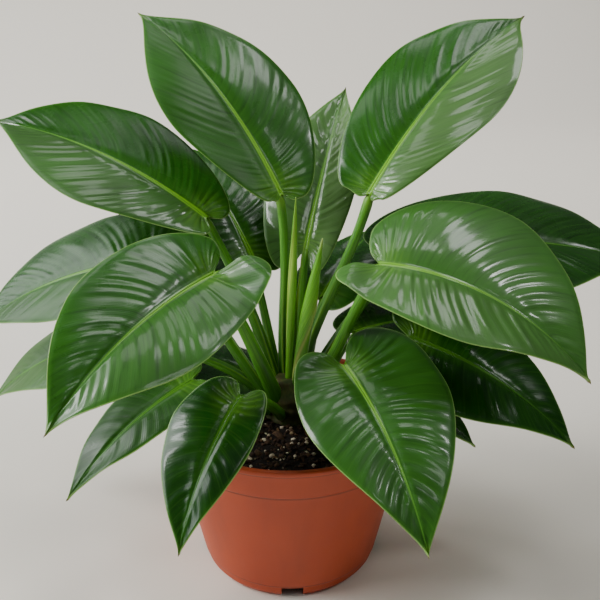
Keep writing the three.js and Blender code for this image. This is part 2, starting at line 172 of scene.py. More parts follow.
# Every leaf as in the solids: the point where the blade meets its stalk (at), the compass angle of
# its midrib (az), its rise there and its droop along the length, its roll and its length. For the
# left and right half: the half width (w), where that lies (yw) and the lobe as shares of the
# length, the lobe's breadth (base) as a share of the half width, how far the lobe's end perks up,
# the fold up from the midrib and the curl towards the margin. For the stalk: its foot, the angles
# where it starts and meets the blade, and its two radii. Only the looks have the lightness of the
# green (tone), which is low on the leaves low in the plant as painted shade and high on the palest
# as painted sheen, how dull each half is (haze_and_sheen), which also paints a paler sheen into its
# green, and how varnished (gloss) each half is, the strength of the pleats (relief) and whether the
# grid is fine.
USUAL_LEAF = dict(
    roll=0, droop=30, w=(0.34, 0.34), yw=(0.25, 0.25), lobe=(0.13, 0.13), base=(0.38, 0.38),
    perk=(0, 0), fold=(12, 12), curl=(25, 25),
    tone=0.5, haze_and_sheen=(0.3, 0.3), gloss=(0.4, 0.4), relief=1, fine=True,
)
LEAVES = [
    dict(name="top_left", at=(-5, 10, 233), az=141, rise=57, droop=34, roll=-28, length=146,
         w=(0.25, 0.29), yw=(0.44, 0.38), lobe=(0.02, 0.05), base=(0.22, 0.28), fold=(16, 12),
         tone=0.65, haze_and_sheen=(0.5, 0.4), gloss=(0, 0.45), relief=0.5,
         foot=(-3, 7, 120), starts=(140, 86), meets=(150, 80), radii=(3.6, 2.3)),
    dict(name="top_right", at=(46, 10, 233), az=40, rise=50, roll=24, length=158,
         w=(0.27, 0.24), yw=(0.48, 0.49), lobe=(0.02, 0.01), base=(0.36, 0.24), fold=(10, 18),
         tone=0.6, haze_and_sheen=(0.3, 1.0), gloss=(0.25, 0.7), relief=0.8,
         foot=(6, 6, 120), starts=(40, 70), meets=(35, 72), radii=(3.6, 2.6)),
    dict(name="high_left", at=(-49, 14, 218), az=157, rise=31, droop=28, roll=-30, length=155,
         w=(0.25, 0.27), yw=(0.42, 0.46), lobe=(0.06, 0.06), base=(0.22, 0.26), fold=(16, 10),
         haze_and_sheen=(0.75, 0.3), gloss=(0.8, 0), relief=0.8,
         foot=(-9, 4, 117), starts=(155, 72), meets=(165, 60), radii=(3.6, 2.5)),
    dict(name="mid_left", at=(-69, 8, 193), az=164, rise=-6, droop=35, roll=-35, length=155,
         w=(0.21, 0.27), yw=(0.36, 0.36), tone=0.4, haze_and_sheen=(0.6, 0.3), gloss=(0.05, 0.05),
         foot=(-13, -1, 108), starts=(175, 55), meets=(170, 50), radii=(3.6, 2.5)),
    dict(name="front_left", at=(-41, -30, 198), az=229, rise=-6, droop=36, roll=-30, length=125,
         w=(0.33, 0.32), yw=(0.34, 0.36), lobe=(0.15, 0.12), base=(0.42, 0.4), fold=(24, 19),
         curl=(30, 25), perk=(13, 0), tone=0.8, haze_and_sheen=(0.65, 0.4), relief=1.15,
         foot=(-8, -9, 112), starts=(225, 65), meets=(225, 55), radii=(4.6, 2.8)),
    dict(name="low_left", at=(-94, 20, 140), az=163, rise=-12, droop=35, roll=-25, length=134,
         w=(0.24, 0.28), haze_and_sheen=(0.9, 0.9), gloss=(0, 0),
         foot=(-13, 5, 102), starts=(170, 50), meets=(165, 15), radii=(3.2, 2.3)),
    dict(name="low_front_left", at=(-56, -22, 130), az=219, rise=-12, droop=34, roll=-8,
         length=96, w=(0.21, 0.27), lobe=(0.06, 0.13),
         tone=0.1, haze_and_sheen=(0.45, 0.45), gloss=(0, 0), relief=0.7,
         foot=(-13, -7, 102), starts=(208, 38), meets=(203, 30), radii=(3.2, 2.2)),
    dict(name="low_front", at=(-26, -57, 137), az=243, rise=-20, droop=45, roll=-5, length=89,
         w=(0.23, 0.34), lobe=(0.11, 0.13),
         tone=0, haze_and_sheen=(0.2, 0.2), gloss=(0.25, 0.25), relief=0.9,
         foot=(-5, -13, 102), starts=(250, 45), meets=(240, 20), radii=(3.2, 2.1)),
    dict(name="front_right", at=(31, -45, 150), az=-65, rise=-12, droop=46, roll=12, length=113,
         w=(0.39, 0.33), lobe=(0.2, 0.14), base=(0.54, 0.38), perk=(0, 4),
         tone=0.55, haze_and_sheen=(0.5, 0.5), relief=1.3,
         foot=(8, -12, 104), starts=(-55, 50), meets=(-55, 25), radii=(3.6, 2.5)),
    dict(name="mid_right", at=(50, -30, 204), az=-18, rise=1, droop=52, roll=30, length=130,
         w=(0.46, 0.3), yw=(0.38, 0.32), lobe=(0.07, 0.16), base=(0.34, 0.38), fold=(12, 20),
         perk=(0, 5), tone=0.9, haze_and_sheen=(0.75, 0.9), gloss=(0.8, 0.5), relief=1.4,
         foot=(12, -5, 113), starts=(-20, 58), meets=(-25, 60), radii=(3.8, 2.9)),
    dict(name="back_right", at=(70, 44, 186), az=2, rise=12, droop=32, roll=18, length=158,
         w=(0.37, 0.34), yw=(0.44, 0.38), tone=0.3, haze_and_sheen=(0.3, 0.2),
         foot=(12, 7, 112), starts=(32, 58), meets=(30, 45), radii=(3.5, 2.5)),
    dict(name="low_right", at=(72, 0, 147), az=-18, rise=-12, droop=35, roll=25, length=116,
         tone=0.05, haze_and_sheen=(0.1, 0.1), gloss=(0.1, 0.1),
         foot=(14, 0, 107), starts=(0, 48), meets=(0, 25), radii=(3.4, 2.3)),
    dict(name="small_right", at=(50, -14, 124), az=-17, rise=-10, droop=35, roll=10, length=70,
         tone=0.2, fine=False,
         foot=(14, -5, 102), starts=(-15, 35), meets=(-15, 25), radii=(2.8, 2)),
    dict(name="back", at=(10, 40, 190), az=70, rise=56, droop=15, roll=5, length=116,
         w=(0.3, 0.2), yw=(0.36, 0.36), tone=0.8, haze_and_sheen=(1, 1.3), gloss=(0.9, 0.9),
         foot=(2, 12, 114), starts=(80, 70), meets=(75, 65), radii=(3.5, 2.4)),
    dict(name="back_left", at=(-24, 50, 181), az=125, rise=45, droop=25, roll=-15, length=105,
         w=(0.32, 0.28), tone=0.4,
         foot=(-6, 12, 108), starts=(115, 60), meets=(115, 55), radii=(3.3, 2.3)),
    dict(name="small_back", at=(21, 46, 156), az=60, rise=30, droop=25, length=80,
         tone=0.4, fine=False,
         foot=(7, 13, 104), starts=(65, 50), meets=(65, 45), radii=(3, 2)),
    dict(name="low_back_right", at=(42, 30, 138), az=20, rise=10, droop=25, roll=10, length=85,
         tone=0.3, fine=False,
         foot=(13, 8, 102), starts=(33, 38), meets=(33, 30), radii=(3, 2)),
    dict(name="low_back_left", at=(-26, 24, 108), az=152, rise=12, droop=18, roll=-5, length=85,
         tone=0.3, fine=False,
         foot=(-10, 12, 100.5), starts=(140, 20), meets=(145, 15), radii=(2.8, 2)),
]

# The rolled leaves: the points of their curve, their radius, how often the seam winds round, and
# their screen colours: dark, light, edge and foot, as for the stalks. The foot colour is painted
# shade where the stalks crowd together at the crown.
STALK_COLOURS = ((44, 108, 8), (90, 164, 22), (150, 198, 66), (22, 70, 6))
SPEARS = [
    dict(name="sheath_pale", slot="sheath_pale", radius=2.6, turns=0.4,
         points=((-1, -2, 114), (1, -2, 160), (3, -1, 200), (4, 0, 233)),
         colours=((84, 150, 16), (126, 190, 34), (168, 206, 74), (80, 140, 20))),
    dict(name="sheath_green", slot="sheath_green", radius=2.0, turns=0.3,
         points=((4, 0, 114), (5, -0.5, 150), (6, -0.5, 180), (9, -0.5, 207)),
         colours=((60, 124, 14), (106, 174, 30), (160, 198, 76), (36, 96, 10))),
    dict(name="new_leaf_rolled", slot="new_leaf", radius=4.2, turns=1.1,
         points=((4, -7, 112), (8, -8, 150), (13, -8, 180), (19, -7, 211)),
         colours=((72, 144, 8), (112, 184, 22), (206, 216, 118), (50, 120, 10))),
]

# Camera, as fitted to the pot's ellipses in the photograph, and light
CAMERA_PLACE = (6.33, -483.8, 363.7)
CAMERA_PITCH_DOWN = 21.7
CAMERA_LENS = 53.58
SENSOR_WIDTH = 36.0
PLANT_MIDDLE = (0, 0, 170)
SKY_COLOUR = (0.96, 0.98, 1.0, 1.0)
SKY_STRENGTH = 0.08
WINDOW_COLOUR = (0.96, 0.99, 1.0)


def bezier(a, b, c, d, t):
    """A cubic curve: the four points weighted by the cubic Bernstein shares of t, which is kept
    from 0 to 1."""
    a, b, c, d = (np.array(point, float) for point in (a, b, c, d))
    t = np.clip(t, 0, 1)[..., None]
    u = 1 - t
    return a * u**3 + b * 3 * u * u * t + c * 3 * u * t * t + d * t**3


def unit(vectors):
    """Vectors divided by their lengths."""
    return vectors / np.linalg.norm(vectors, axis=-1, keepdims=True)


def heading(az, rise):
    """The direction with a compass angle and a rise above level."""
    a, e = math.radians(az), math.radians(rise)
    return np.array([math.cos(e) * math.cos(a), math.cos(e) * math.sin(a), math.sin(e)])


def bell(x, width):
    """A bell-shaped bump of height one: e to the minus square of x over width."""
    return np.exp(-((x / width) ** 2))


def ease(x, low, high):
    """A smooth step from 0 at low to 1 at high: 3 x squared minus 2 x cubed between them."""
    t = np.clip((x - low) / (high - low), 0, 1)
    return t * t * (3 - 2 * t)


def lattice_noise(x, y, cell, random):
    """Smooth noise from -1 to 1: random values on a square lattice, eased between its corners."""
    grid = random.uniform(-1, 1, (LATTICE, LATTICE))
    u, v = x / cell, y / cell
    i, j = np.floor(u).astype(int), np.floor(v).astype(int)
    a, b = ease(u - i, 0, 1), ease(v - j, 0, 1)

    def corner(p, q):
        return grid[(i + p) % LATTICE, (j + q) % LATTICE]

    low = corner(0, 0) * (1 - a) + corner(1, 0) * a
    high = corner(0, 1) * (1 - a) + corner(1, 1) * a
    return low * (1 - b) + high * b


def ring_faces(rows, columns):
    """Faces of a closed skin of rings: quads between neighbouring rings and a fan at either end,
    whose centre points are the last two points."""
    i, j = np.meshgrid(np.arange(rows - 1), np.arange(columns), indexing="ij")
    a = i * columns + j
    b = i * columns + (j + 1) % columns
    quads = np.stack([a, b, b + columns, a + columns], -1).reshape(-1, 4)
    ring = np.arange(columns)
    following = (ring + 1) % columns
    first, last = rows * columns, rows * columns + 1
    end = (rows - 1) * columns
    fans = np.concatenate([
        np.stack([np.full(columns, first), following, ring], -1),
        np.stack([np.full(columns, last), end + ring, end + following], -1),
    ])
    return quads, fans


def make_mesh(name, points, quads=NO_FACES, triangles=NO_FACES, values=None):
    """A mesh from points in millimetres, four-sided and three-sided faces, and a number of each
    kind in values at every point."""
    mesh = bpy.data.meshes.new(name)
    mesh.vertices.add(len(points))
    mesh.vertices.foreach_set("co", (points * MM).astype(np.float32).ravel())
    corners = np.concatenate([quads.ravel(), triangles.ravel()]).astype(np.int32)
    mesh.loops.add(len(corners))
    mesh.loops.foreach_set("vertex_index", corners)
    starts = np.concatenate([4 * np.arange(len(quads)),
                             4 * len(quads) + 3 * np.arange(len(triangles))]).astype(np.int32)
    mesh.polygons.add(len(starts))
    mesh.polygons.foreach_set("loop_start", starts)
    mesh.update(calc_edges=True)
    for key, numbers in (values or {}).items():
        attribute = mesh.attributes.new(key, "FLOAT", "POINT")
        attribute.data.foreach_set("value", numbers.astype(np.float32))
    return mesh


def add_object(name, data):
    """An object in the scene for a mesh, a light or the camera."""
    item = bpy.data.objects.new(name, data)
    bpy.context.scene.collection.objects.link(item)
    return item


def add_piece(name, mesh, material, node=None, smooth=True):
    """A piece of the plant or pot. It takes the place of a node of the solids if one is named."""
    if smooth:
        mesh.shade_smooth()
    mesh.materials.append(material)
    piece = add_object(name, mesh)
    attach(piece, BODY)
    if node:
        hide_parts(node)


def ringed_mesh(name, rings, ends, values=None):
    """A closed skin through rings of points, with a centre point at either end. Values are spread
    over the ring points, and a centre point gets the mean of its ring."""
    quads, fans = ring_faces(*rings.shape[:2])
    points = np.concatenate([rings.reshape(-1, 3), np.array(ends, float)])
    full = {}
    for key, numbers in (values or {}).items():
        grid = np.broadcast_to(numbers, rings.shape[:2])
        full[key] = np.concatenate([grid.ravel(), [grid[0].mean(), grid[-1].mean()]])
    return make_mesh(name, points, quads, fans, full)


# Blades

def blade_edge(share, width, widest, lobe, breadth):
    """Outline of half a blade as shares of its length: three cubic curves, from the stalk round
    the lobe, out to the widest point, and in to the tip."""
    foot = (width * breadth, -lobe)
    shoulder = (width, widest)
    lobe_part = bezier((0, 0), (0.03, -0.05), (0.4 * width * breadth, -lobe), foot,
                       share / LOBE_SHARE)
    side_part = bezier(foot, (1.85 * width * breadth, -lobe), (width, widest - 0.17), shoulder,
                       (share - LOBE_SHARE) / (SHOULDER_SHARE - LOBE_SHARE))
    tip_part = bezier(shoulder, (width, widest + 0.3), (0.035, 0.88), (0, 1),
                      (share - SHOULDER_SHARE) / (1 - SHOULDER_SHARE))
    edge = np.where((share <= LOBE_SHARE)[:, None], lobe_part, side_part)
    return np.where((share > SHOULDER_SHARE)[:, None], tip_part, edge)


def vein_root(share):
    """Where a side vein leaves the midrib, as a share of the length. The veins of the lobes start
    close behind the stalk."""
    beyond = (share - LOBE_SHARE) / (1 - LOBE_SHARE)
    return np.where(beyond > 0, np.abs(beyond) ** VEIN_CROWDING, 0.05 * beyond)


def placed(leaf, across, along, above):
    """Carries blade points to their place: a roll about the midrib, a bend down along the arc of
    the midrib whose slope falls evenly from the rise by the droop, and a turn to the compass
    angle."""
    az, start, droop, roll = (math.radians(leaf[key]) for key in ("az", "rise", "droop", "roll"))
    x = across * math.cos(roll) + above * math.sin(roll)
    z = -across * math.sin(roll) + above * math.cos(roll)
    slope = start - droop * along / leaf["length"]
    radius = leaf["length"] / droop
    out = radius * (math.sin(start) - np.sin(slope)) - z * np.sin(slope)
    up = radius * (np.cos(slope) - math.cos(start)) + z * np.cos(slope)
    return np.stack([
        leaf["at"][0] + out * math.cos(az) + x * math.sin(az),
        leaf["at"][1] + out * math.sin(az) - x * math.cos(az),
        leaf["at"][2] + up,
    ], -1)


def blade_half(leaf, half, share, t, random):
    """One half of a blade on a grid of shares down the length and t from midrib to margin. Each
    row is a side vein: it bows forward as t to a power. The half folds up at the midrib and curls
    down on an arc, waves and ripples towards the margin, is puffed up between its veins by a sine
    squared of the vein count, streaked by lattice noise and swollen into a crest beside the
    midrib. The midrib stands up as a bell-shaped rib with a channel on it and a groove on either
    side, and below as a keel."""
    length = leaf["length"]
    width, widest, lobe, breadth = (leaf[key][half] for key in ("w", "yw", "lobe", "base"))
    edge = blade_edge(share, width, widest, lobe, breadth) * length
    root = vein_root(share)[:, None] * length
    share = share[:, None]
    t = t[None, :]
    flat = edge[:, :1] * t
    along = root + (edge[:, 1:] - root) * t**VEIN_BOW
    fold = math.radians(leaf["fold"][half])
    curl = math.radians(leaf["curl"][half])
    slant = fold - curl * flat / (width * length)
    radius = width * length / curl
    across = radius * (math.sin(fold) - np.sin(slant))
    turns = WAVE_COUNT * share + WAVE_START + WAVE_SHIFT_RIGHT * half
    wave = WAVE_HEIGHT * t**2 * np.sin(2 * np.pi * turns) * np.sin(np.pi * share)
    perk = leaf["perk"][half] * ease(-along, 0, PERK_SHARE * lobe * length)
    above = radius * (np.cos(slant) - math.cos(fold)) + wave + perk

    # Small relief, measured square to the blade. Pleats and streaks fade out at the midrib, the
    # margin, the stalk and the tip.
    weave, _, _, swell_start, ripple_start, _ = random.uniform(0, 1, 6)
    veins = round(length / PLEAT_SPACING)
    vein = veins * share + 0.3 * np.sin(2 * np.pi * (2.6 * share + weave))
    fade = ease(t, 0.02, 0.3) * (1 - ease(t, 0.72, 0.99)) * ease(share, 0.04, 0.3)
    fade = fade * (1 - 0.6 * ease(share, 0.75, 1))
    streaks = sum(height * lattice_noise(vein + 40, (1.1 * t + 2 * share) * cell, cell, random)
                  for cell, height in STREAKS)
    pleats = leaf["relief"] * fade * (PLEAT_HEIGHT * np.sin(np.pi * vein) ** 2 + streaks)
    swell = np.sin(np.pi * t) * np.sin(2 * np.pi * (1.4 * share + 0.35 * t + swell_start))
    ripple = t**4 * np.sin(2 * np.pi * (5.3 * share + ripple_start)) * np.sin(np.pi * share)
    taper = 1 - np.clip(along / length, 0, 1)
    rib_width = RIB_WIDTH * taper**1.2 + RIB_TIP_WIDTH
    rib = RIB_HEIGHT * bell(flat, rib_width) - RIB_CHANNEL * bell(flat, 0.3 * rib_width)
    rib = rib - RIB_GROOVE * bell(flat - 2.3 * rib_width, 1.1 * rib_width)
    rib = rib * (0.15 + 0.85 * taper)
    rolled = MARGIN_ROLL * ease(t, 0.9, 1) ** 2
    crest = CREST * bell(t - 0.2, 0.14) * ease(share, 0.12, 0.35) * (1 - ease(share, 0.75, 1))
    lift = pleats + UNDULATION * swell + RIPPLE * ripple + crest + rib - rolled

    keel_width = RIB_TIP_HALF_WIDTH + (RIB_HALF_WIDTH - RIB_TIP_HALF_WIDTH) * taper
    keel = (RIB_TIP_DEPTH + (RIB_DEPTH - RIB_TIP_DEPTH) * taper) * bell(flat, 0.62 * keel_width)
    thickness = BLADE_THICKNESS * (1 - MARGIN_THINNING * t**3)
    sign = -1 if half == 0 else 1

    def skin(height):
        return placed(leaf, sign * (across - height * np.sin(slant)), along,
                      above + height * np.cos(slant))

    # What the finish reads: the distance from the midrib in rib widths and from the margin and the
    # stalk in millimetres, the count of side veins, the way along the leaf and out to its margin,
    # and how dull (which also sets the painted sheen) and how varnished this half is
    values = {
        "rib": flat / rib_width,
        "from_margin": (1 - t) * np.hypot(edge[:, :1], edge[:, 1:] - root),
        "vein": vein,
        "along": along / length,
        "from_stalk": np.hypot(flat, along),
        "out": t,
        "haze_and_sheen": leaf["haze_and_sheen"][half],
        "gloss": leaf["gloss"][half],
    }
    upper = skin(lift)
    outward = unit(upper[:, -1:] - upper[:, -2:-1])
    return {
        "upper": upper,
        "under": skin(lift - thickness - keel),
        "rim": skin(lift - thickness / 2)[:, -1:] + MARGIN_ROUNDING * outward,
        "values": {key: np.broadcast_to(value, along.shape) for key, value in values.items()},
    }


def around(upper, under, rim):
    """Rings round a blade from the grids of its left and right halves: over the upper side from
    the left margin to the right, and back along the underside."""
    return np.concatenate([upper[0][:, ::-1], upper[1][:, 1:], rim[1],
                           under[1][:, ::-1], under[0][:, 1:], rim[0]], 1)


def blade_mesh(leaf, index):
    """A whole blade. The columns of its grid lie closer at the midrib and at the margin."""
    random = np.random.default_rng(SEED + index)
    rows_each_mm, columns = FINE_GRID if leaf["fine"] else COARSE_GRID
    share = np.linspace(FIRST_ROW, LAST_ROW, round(leaf["length"] * rows_each_mm))
    u = np.linspace(0, 1, columns)
    t = u - COLUMN_CROWDING * np.sin(2 * np.pi * u)
    halves = [blade_half(leaf, half, share, t, random) for half in (0, 1)]
    rings = around(*([half[key] for half in halves] for key in ("upper", "under", "rim")))
    values = {}
    for key in halves[0]["values"]:
        both = [half["values"][key] for half in halves]
        values[key] = around(both, both, [numbers[:, -1:] for numbers in both])
    right_rim = 2 * columns - 1
    values["under"] = np.zeros(rings.shape[1])
    values["under"][right_rim:] = 1
    values["under"][[right_rim, -1]] = RIM_SHARE_UNDER
    values["tone"] = leaf["tone"]
    tip = placed(leaf, 0, leaf["length"] * TIP_REACH, -BLADE_THICKNESS / 2)
    return ringed_mesh("blade_" + leaf["name"], rings, [rings[0].mean(0), tip], values)


# Stalks, rolled leaf, stem

def carried_rings(path, radius, inward, angle, section):
    """A section carried along a path: at each step its zero angle faces the inward direction, made
    square to the path, and a point lies at radius times the section's share for its angle."""
    along = unit(np.gradient(path, axis=0))
    first = unit(inward - (inward * along).sum(-1, keepdims=True) * along)
    second = np.cross(along, first)
    reach = radius[:, None] * section
    return (path[:, None] + reach[..., None] * (np.cos(angle)[..., None] * first[:, None]
                                               + np.sin(angle)[..., None] * second[:, None]))


def petiole_mesh(leaf, index):
    """A stalk: a cubic curve from the stem to the blade. Its section is round at the blade and has
    a channel between two thin edges, facing the stem, towards its foot."""
    foot = np.array(leaf["foot"], float)
    head = placed(leaf, 0, 0, -STALK_SINKS)
    reach = PETIOLE_REACH * np.linalg.norm(head - foot)
    steps, columns = STALK_GRID
    share = np.linspace(0, 1, steps)
    path = bezier(foot, foot + reach * heading(*leaf["starts"]),
                  head - reach * heading(*leaf["meets"]), head, share)
    thick, thin = leaf["radii"]
    radius = thick + (thin - thick) * share
    radius = radius * (1 + 0.1 * bell(share - 0.94, 0.06)) * (1 - 0.75 * ease(share, 0.975, 1))
    angle = np.linspace(-np.pi, np.pi, columns, endpoint=False)[None, :]
    sheath = (1 - ease(share, 0.15, 0.75))[:, None]
    from_edge = np.abs(angle) - EDGE_ANGLE
    section = (1 - CHANNEL_DEPTH * sheath * bell(angle, CHANNEL_WIDTH)
               + EDGE_HEIGHT * sheath * bell(from_edge, 0.2))
    section = section + STALK_GROOVE_DEPTH * np.sin(STALK_GROOVES * angle + index)
    inward = np.array([-foot[0], -foot[1], 12.0])
    rings = carried_rings(path, radius, inward, angle, section)
    values = {
        "along": share[:, None],
        "around": angle / np.pi,
        "edge": sheath * bell(from_edge, 0.13),
        "tone": leaf["tone"],
    }
    return ringed_mesh("petiole_" + leaf["name"], rings, [path[0], path[-1]], values)


def spear_mesh(spear):
    """A furled leaf or bud sheath: a spindle that ends in a point, wound so that its outer edge
    overlaps its inner one along a seam that climbs round it."""
    steps, columns = SPEAR_GRID
    share = np.linspace(0, 1, steps)
    path = bezier(*spear["points"], share)
    lower = SPEAR_FOOT_SHARE + 2 * share * (1 - SPEAR_FOOT_SHARE)
    upper = 1 - (1 - SPEAR_POINT_SHARE) * np.clip(2 * share - 1, 0, 1) ** SPEAR_POINT_POWER
    radius = spear["radius"] * np.where(share < 0.5, lower, upper)
    column = np.linspace(0, 1, columns, endpoint=False)[None, :]
    angle = 2 * np.pi * (column + spear["turns"] * share[:, None] + SPEAR_SEAM_START)
    section = 1 - SPEAR_OVERLAP / 2 + SPEAR_OVERLAP * column
    rings = carried_rings(path, radius, np.array([0.0, -1.0, 0.1]), angle, section)
    seam_width = 0.035 + 0.09 * bell(share[:, None] - 0.6, 0.12)
    values = {
        "along": share[:, None],
        "around": 2 * column - 1,
        "edge": bell(np.minimum(column, 1 - column), seam_width),
        "tone": 0.5,
    }
    return ringed_mesh(spear["name"], rings, [path[0], path[-1]], values)


def lathe_rings(profile, sides):
    """Angles, radii and heights of a profile turned about the upright axis."""
    angle = np.linspace(0, 2 * np.pi, sides, endpoint=False)
    return np.broadcast_arrays(angle, profile[:, :1], profile[:, 1:])


def turned_mesh(name, angle, radius, height, first, last):
    """A closed skin of rings round the upright axis, with centre points at two heights."""
    rings = np.stack([radius * np.cos(angle), radius * np.sin(angle), height], -1)
    return ringed_mesh(name, rings, [(0, 0, first), (0, 0, last)])


def resampled(profile, step):
    """A profile with points added so that none lie further apart than a step."""
    profile = np.array(profile, float)
    runs = [np.linspace(a, b, max(int(np.ceil(np.hypot(*(b - a)) / step)), 1), endpoint=False)
            for a, b in zip(profile[:-1], profile[1:])]
    return np.concatenate([*runs, profile[-1:]])


def rounded(profile, radius):
    """A profile with each corner replaced by four points of a small parabola that starts and ends
    a radius, or less on a short side, from the corner."""
    profile = np.array(profile, float)
    result = [profile[:1]]
    for before, corner, after in zip(profile[:-2], profile[1:-1], profile[2:]):
        inward, outward = before - corner, after - corner
        near = min(radius, 0.45 * np.hypot(*inward), 0.45 * np.hypot(*outward))
        a = corner + near * unit(inward)
        b = corner + near * unit(outward)
        t = np.linspace(0, 1, 4)[:, None]
        result.append(a * (1 - t) ** 2 + 2 * corner * t * (1 - t) + b * t**2)
    return np.concatenate([*result, profile[-1:]])


def stem_mesh():
    """The stem: a turned profile with a ring of scar tissue for each old leaf, its side roughened
    by lattice noise."""
    random = np.random.default_rng(SEED)
    rings = [p for h in STEM_RING_HEIGHTS for p in ((STEM_RADIUS, h - 3), (STEM_RADIUS - 1, h))]
    profile = [(STEM_RADIUS - STEM_FOOT_TAPER, STEM_FOOT),
               (STEM_RADIUS, STEM_FOOT + STEM_FOOT_RISE), *rings,
               (STEM_TOP_RADIUS, STEM_TOP - 1), (STEM_TOP_RADIUS - 3, STEM_TOP)]
    profile = resampled(rounded(profile, radius=1.2), step=0.8)
    angle, radius, height = lathe_rings(profile, sides=96)
    rough = 0.3 * lattice_noise(angle * STEM_RADIUS, height, 2.2, random)
    grooves = 0.2 * lattice_noise(angle * STEM_RADIUS, height * 0.1, 1.1, random)
    radius = radius + rough + grooves
    return turned_mesh("stem", angle, radius, height, STEM_FOOT, STEM_TOP)


# Pot and soil

def drain_cutter():
    """Boxes that cut the drain slots through the foot of the pot."""
    half = np.array([DRAIN_SLOT_DEPTH, DRAIN_SLOT_WIDTH, DRAIN_SLOT_HEIGHT]) / 2
    signs = np.array([[x, y, z] for z in (-1, 1) for x, y in ((-1, -1), (1, -1), (1, 1), (-1, 1))])
    faces = np.array([[0, 3, 2, 1], [4, 5, 6, 7], [0, 1, 5, 4], [1, 2, 6, 5], [2, 3, 7, 6],
                      [3, 0, 4, 7]])
    box = signs * half + np.array([FOOT_RADIUS, 0, DRAIN_SLOT_HEIGHT / 2 - EDGE_BREAK])
    points, quads = [], []
    for slot in range(DRAIN_SLOTS):
        turn = math.radians(FIRST_DRAIN_ANGLE) + 2 * math.pi * slot / DRAIN_SLOTS
        c, s = math.cos(turn), math.sin(turn)
        points.append(box @ np.array([[c, s, 0], [-s, c, 0], [0, 0, 1]]))
        quads.append(faces + 8 * slot)
    mesh = make_mesh("drain_cutter", np.concatenate(points), np.concatenate(quads))
    return add_object("drain_cutter", mesh)


def pot_mesh():
    """The pot: its outline with rounded corners turned about the upright axis, the wall very
    slightly out of round, with the drain slots cut through the foot."""
    outline = [
        (PAD_RADIUS, 0), (PAD_RADIUS + RECESS_DEPTH, RECESS_DEPTH),
        (RECESS_OUTER_RADIUS, RECESS_DEPTH), (RECESS_OUTER_RADIUS + RECESS_DEPTH, 0),
        (FOOT_RADIUS - 2 * EDGE_BREAK, 0), (FOOT_RADIUS, EDGE_BREAK),
        (FOOT_RADIUS + FOOT_FLARE, FOOT_FLARE_HEIGHT),
        (FOOT_SHOULDER_RADIUS - EDGE_BREAK, FOOT_HEIGHT),
        (FOOT_SHOULDER_RADIUS, FOOT_HEIGHT + EDGE_BREAK),
        (COLLAR_FOOT_RADIUS - COLLAR_STEP, COLLAR_FOOT),
        (COLLAR_FOOT_RADIUS, COLLAR_FOOT + EDGE_BREAK),
        (COLLAR_TOP_RADIUS, LIP_FOOT - EDGE_BREAK), (RIM_RADIUS, LIP_FOOT),
        (RIM_RADIUS, POT_HEIGHT - EDGE_BREAK), (RIM_RADIUS - EDGE_BREAK, POT_HEIGHT),
        (RIM_RADIUS - RIM_WIDTH, POT_HEIGHT), (INSIDE_RADIUS, LIP_FOOT),
        (COLLAR_FOOT_RADIUS - WALL - EDGE_BREAK / 2, COLLAR_FOOT),
        (FOOT_SHOULDER_RADIUS - WALL, FOOT_HEIGHT), (FOOT_RADIUS - EDGE_BREAK, FLOOR_TOP),
        (INNERMOST_RING, FLOOR_TOP),
    ]
    profile = resampled(rounded(outline, radius=0.9), step=4.0)
    angle, radius, height = lathe_rings(profile, sides=192)
    wall = ease(height, FOOT_HEIGHT, COLLAR_FOOT)
    below_rim = radius < RIM_RADIUS - 0.2
    radius = radius + OUT_OF_ROUND * wall * np.sin(3 * angle + 0.6) * below_rim
    whole = add_object("pot_whole", turned_mesh("pot", angle, radius, height, 0, FLOOR_TOP))
    cutter = drain_cutter()
    cut = whole.modifiers.new("drain slots", "BOOLEAN")
    cut.operation = "DIFFERENCE"
    cut.solver = "EXACT"
    cut.object = cutter
    result = bpy.data.meshes.new_from_object(
        whole.evaluated_get(bpy.context.evaluated_depsgraph_get()))
    for shape in (whole, cutter):
        bpy.data.objects.remove(shape)
    result.name = "pot"
    result.shade_smooth()
    result.set_sharp_from_angle(angle=math.radians(40))
    return result


def soil_height(x, y):
    """Height of the soil's top: lattice noise of three sizes, a little lower near the rim."""
    random = np.random.default_rng(SOIL_SEED)
    reach = np.hypot(x, y)
    lumps = sum(share * lattice_noise(x, y, cell, random) for cell, share in SOIL_LUMPS)
    return SOIL_LEVEL + SOIL_RELIEF * lumps - SOIL_DIP * ease(reach, *SOIL_DIP_REACH)


def soil_mesh():
    """The soil: its side follows the inside of the pot, its top is rough, and a plain hole in the
    middle holds the stem."""
    edge = INSIDE_RADIUS - 2 * CLEARANCE
    hole, hole_foot = STEM_RADIUS + CLEARANCE, STEM_FOOT - CLEARANCE
    bottom = FLOOR_TOP + CLEARANCE
    side = [(INNERMOST_RING, bottom), (FOOT_RADIUS - EDGE_BREAK - 2 * CLEARANCE, bottom),
            (FOOT_SHOULDER_RADIUS - WALL - 2 * CLEARANCE, FOOT_HEIGHT + CLEARANCE),
            (COLLAR_FOOT_RADIUS - WALL - EDGE_BREAK / 2 - 2 * CLEARANCE, COLLAR_FOOT)]
    top = np.stack([np.linspace(edge, hole, SOIL_RINGS), np.full(SOIL_RINGS, SOIL_LEVEL)], -1)
    floor = [(hole, STEM_FOOT + STEM_FOOT_RISE - CLEARANCE),
             (hole - STEM_FOOT_TAPER, hole_foot), (INNERMOST_RING, hole_foot)]
    angle, radius, height = lathe_rings(np.concatenate([side, top, floor]), SOIL_SIDES)
    x, y = radius * np.cos(angle), radius * np.sin(angle)
    height = np.where(height == SOIL_LEVEL, soil_height(x, y), height)
    return turned_mesh("soil", angle, radius, height, bottom, hole_foot)


def crumb_shape(detail):
    """Corner points and faces of a small round lump."""
    lump = bmesh.new()
    bmesh.ops.create_icosphere(lump, subdivisions=detail, radius=1)
    points = np.array([v.co for v in lump.verts])
    faces = np.array([[v.index for v in f.verts] for f in lump.faces])
    lump.free()
    return points, faces


